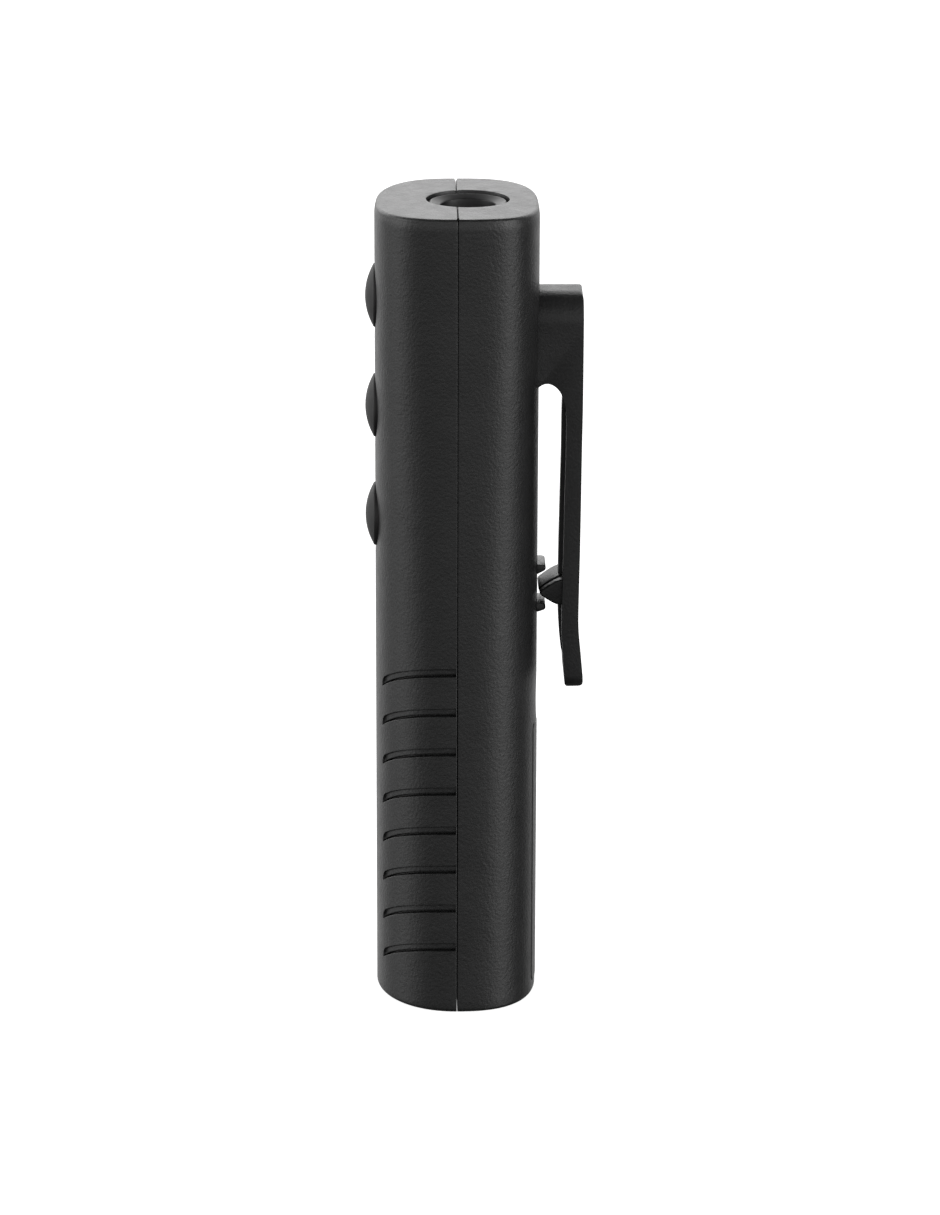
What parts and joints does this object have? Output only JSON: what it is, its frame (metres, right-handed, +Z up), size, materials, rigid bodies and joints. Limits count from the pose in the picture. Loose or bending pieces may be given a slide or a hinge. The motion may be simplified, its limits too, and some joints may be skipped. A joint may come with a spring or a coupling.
{
  "type": "non contact voltage tester",
  "caption": "Slim hand-held voltage detector with domed front buttons, grooved grip sides, a rear pocket clip, an end torch recess and a battery door.",
  "frame": {"origin": "on the flat base, on the body's axis at the seam plane", "axes": "+Z up along the body towards the torch end, -Y towards the buttons, +Y towards the pocket clip, X across the width"},
  "size_m": [0.036, 0.0376, 0.141],
  "materials": {
    "casing_plastic": "fine moulded texture, charcoal",
    "clip_plastic": "fine moulded texture, charcoal, satin edges",
    "button_rubber": "soft-touch rubber, charcoal",
    "collar_plastic": "fine matte, near black",
    "clear_lens": "clear polycarbonate, polished",
    "gasket_rubber": "matte black",
    "reflector_metallised": "vacuum-metallised, bright",
    "led_epoxy": "clear yellowish epoxy",
    "board_laminate": "green solder mask, satin",
    "lead_insulation": "red PVC",
    "screw_steel": "zinc plated",
    "antenna_copper": "bare copper foil",
    "chip_epoxy": "moulded epoxy, matte",
    "passive_ceramic": "sintered ceramic, matte",
    "buzzer_plastic": "matte black",
    "switch_plastic": "dark grey nylon",
    "plunger_plastic": "brick red nylon",
    "holder_plastic": "black nylon, satin",
    "cell_sleeve": "plain printed sleeve, plain ends",
    "spring_steel": "nickel plated"
  },
  "bodies": {
    "casing": {"front_shell": "casing_plastic", "rear_shell": "casing_plastic", "clip_root": "clip_plastic", "clip_screws": "screw_steel", "collar_ring": "collar_plastic", "torch_lens": "clear_lens", "lens_gasket": "gasket_rubber", "torch_reflector": "reflector_metallised", "torch_led": "led_epoxy", "torch_board": "board_laminate", "torch_leads": "lead_insulation", "main_board": "board_laminate", "board_screws": "screw_steel", "sensing_antenna": "antenna_copper", "detector_chip": "chip_epoxy", "smd_passives": "passive_ceramic", "buzzer": "buzzer_plastic", "switch_bodies": "switch_plastic", "battery_holder": "holder_plastic", "battery_cell": "cell_sleeve", "contact_spring": "spring_steel", "positive_contact": "spring_steel", "negative_contact": "spring_steel"},
    "upper_button": {"button_upper": "button_rubber", "switch_plunger_upper": "plunger_plastic"},
    "middle_button": {"button_middle": "button_rubber", "switch_plunger_middle": "plunger_plastic"},
    "lower_button": {"button_lower": "button_rubber", "switch_plunger_lower": "plunger_plastic"},
    "clip": {"pocket_clip": "clip_plastic"},
    "door": {"battery_door": "casing_plastic"}
  },
  "joints": [
    {"name": "upper_button_press", "type": "slide", "parent": "casing", "child": "upper_button", "axis": [0, 1, 0], "range_m": [0, 0.0005], "stiffness_N_per_m": 400},
    {"name": "middle_button_press", "type": "slide", "parent": "casing", "child": "middle_button", "axis": [0, 1, 0], "range_m": [0, 0.0005], "stiffness_N_per_m": 400},
    {"name": "lower_button_press", "type": "slide", "parent": "casing", "child": "lower_button", "axis": [0, 1, 0], "range_m": [0, 0.0005], "stiffness_N_per_m": 400},
    {"name": "clip_flex", "type": "hinge", "parent": "casing", "child": "clip", "pos_m": [0, 0.01997, 0.1062], "axis": [1, 0, 0], "range_deg": [0, 5], "stiffness_Nm_per_rad": 1},
    {"name": "door_tilt", "type": "hinge", "parent": "casing", "child": "door", "pos_m": [0, 0.01345, 0.0033], "axis": [-1, 0, 0], "range_deg": [0, 60]}
  ]
}
